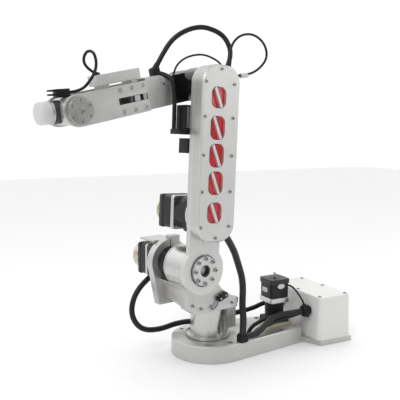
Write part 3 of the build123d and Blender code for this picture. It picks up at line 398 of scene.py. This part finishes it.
def tube(name, points, diameter, look, sides=20):
    """A round tube along the points, with flat capped ends and coordinates round and along it."""
    mesh = bmesh.new()
    coordinates = mesh.loops.layers.uv.new("UVMap")
    ahead = [(b - a).normalized() for a, b in zip(points, points[1:])]
    ahead.append(ahead[-1])
    across = ahead[0].orthogonal().normalized()
    rings, travelled, marks = [], 0.0, []
    for k, (point, direction) in enumerate(zip(points, ahead)):
        if k:
            travelled += (point - points[k - 1]).length
        across = (across - direction * across.dot(direction)).normalized()
        beside = direction.cross(across)
        ring = []
        for n in range(sides):
            angle = math.tau * n / sides
            ring.append(point + (across * math.cos(angle) + beside * math.sin(angle)) * diameter / 2)
        rings.append(ring)
        marks.append(travelled)
    made = skin(mesh, rings, 0)
    place = {v: (n, marks[k]) for k, ring in enumerate(made) for n, v in enumerate(ring)}
    for face in mesh.faces:
        wraps = len({place[v][0] for v in face.verts} & {0, sides - 1}) == 2
        for corner in face.loops:
            n, v_along = place[corner.vert]
            corner[coordinates].uv = ((1.0 if wraps and n == 0 else n / sides), v_along)
    bmesh.ops.recalc_face_normals(mesh, faces=mesh.faces)
    data = bpy.data.meshes.new(name)
    mesh.to_mesh(data)
    mesh.free()
    data.materials.append(look)
    data.shade_smooth()
    data.set_sharp_from_angle(angle=math.radians(50))
    piece = bpy.data.objects.new(name, data)
    bpy.context.scene.collection.objects.link(piece)
    return piece


def cable(name, diameter, route, body=None, between=None, node=None, look=RUBBER):
    """A cable that goes into something at both ends. It rides on one body, or, when between is given, stays
    fixed where it lies on no body.
    """
    points = centreline(route)
    piece = tube(name + "_jacket", points, diameter * MM, look)
    if between:
        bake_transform(piece)
    else:
        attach(piece, body)
    if node:
        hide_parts(node)
    return piece


def near(*places):
    """Points from (limb, ahead, left, up) entries."""
    return [spot(*place) for place in places]


BEFORE_JOIN = spot(BASE, -55, -47, 43)
FAR_JOIN = spot(BASE, -97, -45, 47)
front_loop = near((TURRET, 44, -72, 151), (TURRET, 84, -70, 134), (TURRET, 115, -68, 106),
                  (TURRET, 123, -65, 72), (TURRET, 104, -61, 43), (TURRET, 66, -58, 37),
                  (BASE, 38, -48, 44), (BASE, -8, -50, 41))
cable("cable_front_loop", 10, front_loop + [BEFORE_JOIN, FAR_JOIN], node="cable_front_loop",
      between=("turret", "base", spot(TURRET, 115, -68, 106), spot(TURRET, 56, -68, -12)))

far_run = [FAR_JOIN, FAR_JOIN + (FAR_JOIN - BEFORE_JOIN) * 0.66]
far_run += near((BASE, -150, -40, 60), (BASE, -176, -40, 57), (BASE, -197, -40, 51))
cable("cable_far_run", 9, far_run, body="base", node="cable_far_run")

TIE = spot(TURRET, -43.5, 46, 104)
ABOVE_TIE = spot(TURRET, -43, 48, 130)
arm_bundle = near((TURRET, 33, 79, 235), (TURRET, 4, 72, 205), (TURRET, -21, 59, 168)) + [ABOVE_TIE, TIE]
cable("cable_arm_bundle", 12, arm_bundle, node="cable_arm_bundle", look=SLEEVE,
      between=("turret", "upper_arm", spot(TURRET, -10, 60, 118), spot(TURRET, -10, 60, 222)))
base_drop = [TIE, TIE + (TIE - ABOVE_TIE) * 0.77] + near((BASE, -49, 45, 64), (BASE, -37, 61, 40))
cable("cable_base_drop", 12, base_drop, node="cable_base_drop", look=SLEEVE,
      between=("turret", "base", spot(BASE, -48, 45, 98), spot(BASE, -48, 45, 50)))
deck_run = near((BASE, -46, 60, 37), (BASE, -68, 60, 37), (BASE, -94, 49, 49), (BASE, -122, 37, 57),
                (BASE, -156, 44, 60), (BASE, -178, 44, 60))
cable("cable_deck_run", 11, deck_run, body="base", node="cable_deck_run", look=SLEEVE)

# the thick cable lands on the cover's rounded top corner
LANDING_TURN = math.radians(25)
COVER_CORNER = 29
CORNER_AHEAD = -15
CORNER_UP = 305.02
LANDING_LEFT = 74
landing = spot(ARM, CORNER_AHEAD - COVER_CORNER * math.sin(LANDING_TURN), LANDING_LEFT,
               CORNER_UP + COVER_CORNER * math.cos(LANDING_TURN))
elbow_arc = near((TURRET, 119, 9, 494), (TURRET, 106, 13, 521), (TURRET, 88, 25, 552), (TURRET, 52, 41, 569),
                 (TURRET, 24, 57, 560), (TURRET, 13, 67, 545), (TURRET, 9.5, 74, 520.5))
cable("cable_elbow_arc", 8, elbow_arc + [landing], node="cable_elbow_arc",
      between=("elbow", "upper_arm", spot(TURRET, 108, 12, 505), spot(TURRET, 20, 72, 505)))
elbow_drop = near((TURRET, 113, 12, 492), (TURRET, 101, 30, 488), (TURRET, 97, 36, 466), (ARM, 46.5, 36, 258),
                  (ARM, 46.5, 36, 230))
cable("cable_elbow_drop", 7, elbow_drop, node="cable_elbow_drop",
      between=("elbow", "upper_arm", spot(TURRET, 104, 30, 487), spot(TURRET, 100, 36, 428)))
ring = near((TURRET, 22, 82.5, 496), (TURRET, 20, 84, 512), (TURRET, 22, 85, 534), (TURRET, 3, 85, 553),
            (TURRET, -27, 85, 558), (TURRET, -53, 85, 545), (TURRET, -62, 84, 522), (TURRET, -44, 82, 501),
            (TURRET, -18, 80, 490), (TURRET, 18, 79, 487))
cable("cable_ring", 4, ring, body="upper_arm", node="cable_ring")
wrist_loop = near((TURRET, 210, -9, 485), (TURRET, 229, -5, 492), (TURRET, 241, 0, 504),
                  (TURRET, 241, 13, 518), (TURRET, 235, 26, 515), (TURRET, 231, 26, 495),
                  (TURRET, 235, 17, 477), (HAND, -24, 1, 28),
                  (HAND, -3.02, 1, 28))
cable("cable_wrist_loop", 4.5, wrist_loop, node="cable_wrist_loop",
      between=("forearm", "wrist", spot(FORE, 180, 10, 36), spot(FORE, 212, 4, 32)))

# slim leads: over the elbow beside the thick cable, and from the first joint's motor to the gland
elbow_wire = near((TURRET, 96, 30, 484), (TURRET, 95, 32, 500), (TURRET, 78, 38, 517), (TURRET, 54, 50, 523),
                  (TURRET, 38, 62, 516), (TURRET, 28, 72, 505), (TURRET, 25, 74, 492))
cable("elbow_thin_wire", 3.2, elbow_wire,
      between=("elbow", "upper_arm", spot(TURRET, 90, 33, 505), spot(TURRET, 20, 66, 505)))
motor_lead = near((BASE, -158, 18, 108), (BASE, -167, 26, 107), (BASE, -175, 34, 94), (BASE, -182, 41, 80),
                  (BASE, -185, 44, 68))
cable("j1_motor_lead", 3.4, motor_lead, body="base")
low_lead = near((BASE, -66, 44, 26), (BASE, -74, 44, 37), (BASE, -96, 40, 41), (BASE, -124, 36, 46),
                (BASE, -154, 38, 52), (BASE, -184, 43, 58))
cable("deck_lead_low", 8, low_lead, body="base", look=SLEEVE)
back_lead = near((BASE, -66, 30, 26), (BASE, -72, 30, 40), (BASE, -94, 31, 50), (BASE, -122, 28, 54),
                 (BASE, -152, 31, 57), (BASE, -184, 42, 60))
cable("deck_lead_back", 7, back_lead, body="base")


def collar(name, start, end, near_radius, far_radius, body, look=None, ribs=4):
    """A tapered strain relief with ribs round it, from a housing at start to the cable at end."""
    axis = end - start
    mesh = bmesh.new()
    length = axis.length / MM
    profile = [(near_radius * 0.9, 0), (near_radius, 0.4)]
    for k in range(ribs):
        low, high = (k + 0.35) / ribs, (k + 0.85) / ribs
        radius = near_radius + (far_radius - near_radius) * (k + 0.5) / ribs
        groove = radius * 0.9
        profile += [(radius, low * length), (groove, (low + 0.08) * length), (groove, high * length)]
    profile += [(far_radius, length * 0.97), (far_radius * 0.88, length)]
    turned(mesh, profile, 0, sides=28)
    placed = Matrix.Translation(start) @ axis.to_track_quat("Z", "Y").to_matrix().to_4x4()
    return new_piece(name, mesh, placed, [look or BLACK_PLASTIC], body)


def along_route(route, distance):
    """The point a distance in millimetres along a route's first run."""
    return route[0] + (route[1] - route[0]).normalized() * distance * MM


collar("front_loop_relief", front_loop[0], along_route(front_loop, 16), 7.5, 5.6, "turret")
collar("elbow_arc_relief", elbow_arc[0], along_route(elbow_arc, 14), 6.2, 4.6, "elbow")
collar("wrist_loop_relief", wrist_loop[0], along_route(wrist_loop, 10), 4.4, 2.8, "forearm")
ring_end = ring[::-1]
collar("ring_relief", along_route(ring_end, 22), along_route(ring_end, 38), 4.2, 3.6, "upper_arm",
       look=STEEL, ribs=7)


# ---------------------------------------------------------------- motors
SCREW_R = 2.4
SCREW_PROUD = 0.6001


def stepper(name, node, placed, width, length, body):
    """A square stepper motor from its front face back along z, with a laminated middle and screws."""
    mesh = bmesh.new()
    plate = length * 0.2
    slab(mesh, width, width, 4.5, 0, plate, 0)
    slab(mesh, width - 1.6, width - 1.6, 6.5, plate - 0.5, length - plate + 0.5, 1, soft=0.2)
    slab(mesh, width, width, 4.5, length - plate, length, 2)
    for sx in (-1, 1):
        for sy in (-1, 1):
            cap_screw(mesh, (sx * (width / 2 - 4.2), sy * (width / 2 - 4.2)), length, SCREW_R, SCREW_PROUD, 3)
    turned(mesh, [(width * 0.26, length), (width * 0.26, length + 0.35), (width * 0.24, length + 0.4)], 2)
    looks = [TURNED, LAMINATED, BLACK_METAL, DARK_STEEL, BLACK_PLASTIC]
    return new_piece(name, mesh, placed, looks, body, [node])


J1_X = -146.0
j1_low, j1_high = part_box("j1_motor")
J1_SCREWS = 0.7
j1_length = (j1_high.z - j1_low.z) / MM - J1_SCREWS
stepper("j1_motor_body", "j1_motor", upright(J1_X, 0, j1_low.z / MM), 42.3, j1_length, "base")
stepper("j2_motor_body", "j2_motor", facing_right(TURRET, 64, -57, 170), 57, 30.3, "turret")
stepper("j3_motor_body", "j3_motor", facing_right(ARM, 0, 18, 92), 57, 42.3, "upper_arm")

# blank paper labels on the first joint's motor: a band on one side and an oval on the other
labels = bmesh.new()
slab(labels, 17, 9, 1, 0, 0.25, 0, soft=0.05)
new_piece("motor_label_band", labels, upright(J1_X + 20.6, -2, 98) @ Matrix.Rotation(math.radians(90), 4, "Y")
          @ Matrix.Rotation(math.radians(90), 4, "Z"), [PAPER], "base")
oval = bmesh.new()
turned(oval, [(8, 0), (8, 0.2), (7.9, 0.25)], 0)
bmesh.ops.scale(oval, vec=(1, 0.6, 1), verts=oval.verts)
new_piece("motor_label_oval", oval, upright(J1_X - 1, 20.6, 106) @ Matrix.Rotation(math.radians(-90), 4, "X"),
          [PAPER], "base")


def encoder(name, node, placed, radius, length, body):
    """A turned can with a stepped seat, a shallow groove and a rounded rim."""
    mesh = bmesh.new()
    step = radius - 0.8
    profile = [(radius - 0.3, 0), (radius, 0.3), (radius, 4), (step, 4.4), (step, 5.6), (radius, 6)]
    for k in range(7):
        angle = math.radians(15 * k)
        profile.append((radius - 6 + 6 * math.cos(angle), length - 6 + 6 * math.sin(angle)))
    profile += [(radius * 0.42, length), (radius * 0.4, length - 0.6), (radius * 0.12, length - 0.6)]
    turned(mesh, profile, 0, sides=72)
    return new_piece(name, mesh, placed, [WARM_CAN], body, [node])


encoder("j2_encoder_can", "j2_encoder", facing_right(TURRET, 64, -88, 170), 26.5, 24, "turret")
encoder("j3_encoder_can", "j3_encoder", facing_right(ARM, 0, -25, 92), 26.5, 15, "upper_arm")

# a black cup inside the shoulder boss's bore: painted shade standing in for the dark of the through-hole
shade_cup_mesh = bmesh.new()
shade_cup_profile = [(9.7, -18), (9.7, 2), (9.2, 2.6), (7.4, 2.6), (7.0, 2.0), (7.0, -15), (0.5, -15.4)]
turned(shade_cup_mesh, shade_cup_profile)
new_piece("shoulder_bore_painted_shade", shade_cup_mesh, facing_left(ARM, 0, 70, 0), [BLACK_METAL], "upper_arm")

# ---------------------------------------------------------------- gland, clip, connectors, sensors
GLAND_TWIST = 0.5
gland = bmesh.new()
turned(gland, [(13, 0), (13, 5.2), (12, 6)], 0, sides=6, twist=GLAND_TWIST)
turned(gland, [(7.8, -14), (7.8, 0)], 0)
turned(gland, [(11, 6), (11, 8.2), (10.2, 9.6), (8.6, 11), (6.2, 12)], 0)
for k in range(18):
    angle = math.tau * k / 18
    slab(gland, 1.5, 1.5, 0.5, 6, 9, 0, (10.6 * math.cos(angle), 10.6 * math.sin(angle)), 0.2)
gland_place = Matrix.Translation(Vector((-190, 44, 60)) * MM) @ Matrix.Rotation(math.radians(90), 4, "Y")
new_piece("enclosure_gland_nut", gland, gland_place, [BLACK_PLASTIC], "base", ["enclosure_gland"])

clip = bmesh.new()
slab(clip, 18, 16, 4, 30, 41, 0, (0, 0), 0.5)
slab(clip, 16.6, 14.6, 4, 40, 44, 0, (0, 0), 1.6)
new_piece("deck_clip_block", clip, upright(-37, 61, 0), [BLACK_PLASTIC], "base",
          ["deck_clip"])

sockets = bmesh.new()
slab(sockets, 21, 26, 1.5, 223, 268.8, 0, (30, 0), 0.6)
slab(sockets, 32, 26, 1.5, 222, 230, 0, (36, 0), 0.6)
slab(sockets, 16, 26, 2, 192, 216, 0, (26, 0), 0.6)
for k in range(7):
    slab(sockets, 1.2, 1.6, 0.4, 232, 266, 1, (22.5 + 2.5 * k, 13.1), 0.3)
    slab(sockets, 1.2, 1.6, 0.4, 232, 266, 1, (22.5 + 2.5 * k, -13.1), 0.3)
connector_place = ARM.copy()
connector_place.translation = spot(ARM, 0, 46, 0)
new_piece("arm_connector_blocks", sockets, connector_place, [BLACK_PLASTIC, DARK_STEEL], "upper_arm",
          ["arm_connectors"])

plug = bmesh.new()
slab(plug, 13, 15, 1.5, 24.5, 38.6, 0, (63, 0), 0.6)
slab(plug, 9, 12, 1.5, 37.8, 39.9, 0, (63, 0), 0.5)
for k in range(5):
    slab(plug, 13.8, 15.4, 1.6, 26 + 2.4 * k, 27.2 + 2.4 * k, 0, (63, 0), 0.2)
socket_place = FORE.copy()
socket_place.translation = spot(FORE, 0, 9, 0)
new_piece("elbow_plug", plug, socket_place, [BLACK_PLASTIC], "elbow", ["elbow_socket"])

fork = bmesh.new()
slab(fork, 22, 13.6, 1.2, 20.9, 33.4, 0, (8, 0), 0.5)
slab(fork, 12.5, 11, 0.8, 24.1, 26.9, 0, (22.6, 0), 0.4)
slab(fork, 12.5, 11, 0.8, 30.1, 32.9, 0, (22.6, 0), 0.4)
for x in (1.5, 14):
    turned(fork, [(1.9, 33.3), (1.9, 33.5)], 1, (x, 0), 24)
turned(fork, [(0.9, 33.2), (0.9, 33.5)], 2, (8, 3.5), 16)
fork_place = HAND.copy()
fork_place.translation = spot(HAND, 0, 1, 0)
new_piece("wrist_fork_sensor", fork, fork_place, [BLACK_PLASTIC, DARK_STEEL, LAMP], "wrist", ["wrist_sensor"])

cap = bmesh.new()
profile = [(16.4, 0), (17, 0.6), (17, 2.2), (16.6, 2.6), (16.6, 3.4), (17, 3.8)]
for k in range(7):
    angle = math.radians(15 * k)
    profile.append((13 + 4 * math.cos(angle), 14 + 4 * math.sin(angle)))
profile += [(5, 17.8), (1.5, 17.7), (1.2, 17.0), (0.3, 17.0)]
turned(cap, profile, 0, sides=64)
new_piece("tool_cap_frosted", cap, facing_ahead(HAND, 31.5, 0, 0), [FROSTED], "tool", ["tool_cap"])

switch = bmesh.new()
slab(switch, 21, 9, 0.8, -8, 0, 0, (0, 0), 0.4)
for x in (-6, 6):
    turned(switch, [(1.7, -0.1), (1.7, 0.5), (1.4, 0.7)], 1, (x, 0), 20)
for x in (-8, 0, 8):
    slab(switch, 0.9, 3.4, 0.2, -5, -3.4, 2, (x, 5.6), 0.1)
switch_place = facing_right(TURRET, 4, 50, 111) @ Matrix.Rotation(math.radians(-20), 4, "Z")
switch_place = switch_place @ Matrix.Scale(-1, 4, (0, 0, 1))
new_piece("j2_switch_body", switch, switch_place, [BLACK_PLASTIC, STEEL, STEEL], "turret", ["j2_switch"])

# ---------------------------------------------------------------- studio
floor_mesh = bmesh.new()
bmesh.ops.create_grid(floor_mesh, x_segments=1, y_segments=1, size=4)
floor_data = bpy.data.meshes.new("floor")
floor_mesh.to_mesh(floor_data)
floor_mesh.free()
floor = bpy.data.objects.new("floor", floor_data)
floor.location.z = -0.0006
floor_data.materials.append(surface("pale_floor", (0.93, 0.93, 0.93), 0.0, 0.6, 60, 0.02, 0.004))
bpy.context.scene.collection.objects.link(floor)

world = bpy.data.worlds.new("studio")
world.use_nodes = True
sky = world.node_tree.nodes
sky_links = world.node_tree.links
direction = sky.new("ShaderNodeTexCoord").outputs["Generated"]
glow = None
for towards, start, full, most in (((-0.46, -0.86, 0.2), 0.0, 0.75, 0.76), ((0, 0, 1), 0.15, 0.9, 0.40),
                                   ((0.75, -0.35, 0.5), 0.5, 0.95, 0.5)):
    facing = sky.new("ShaderNodeVectorMath")
    facing.operation = "DOT_PRODUCT"
    facing.inputs[1].default_value = Vector(towards).normalized()
    sky_links.new(direction, facing.inputs[0])
    lit = remap(sky, sky_links, facing.outputs["Value"], start, full, 0, most)
    if glow:
        both_lit = sky.new("ShaderNodeMath")
        both_lit.operation = "ADD"
        sky_links.new(glow, both_lit.inputs[0])
        sky_links.new(lit, both_lit.inputs[1])
        lit = both_lit.outputs[0]
    glow = lit
base_light = sky.new("ShaderNodeMath")
base_light.operation = "ADD"
base_light.inputs[1].default_value = 0.27
sky_links.new(glow, base_light.inputs[0])
sky_links.new(base_light.outputs[0], sky["Background"].inputs["Strength"])
sky["Background"].inputs["Color"].default_value = (1, 1, 1, 1)
bpy.context.scene.world = world


def soft_light(name, at, aim, size, power):
    light = bpy.data.lights.new(name, "AREA")
    light.shape = "RECTANGLE"
    light.size, light.size_y = size
    light.energy = power
    holder = bpy.data.objects.new(name, light)
    holder.location = at
    holder.rotation_euler = (Vector(aim) - Vector(at)).to_track_quat("-Z", "Y").to_euler()
    bpy.context.scene.collection.objects.link(holder)


soft_light("key", (1.2, 0.9, 1.5), (0, 0, 0.25), (0.7, 0.7), 11)
soft_light("fill", (-1.3, 0.9, 0.9), (0, 0, 0.25), (0.9, 0.9), 5)
bpy.context.scene.view_settings.view_transform = "Standard"
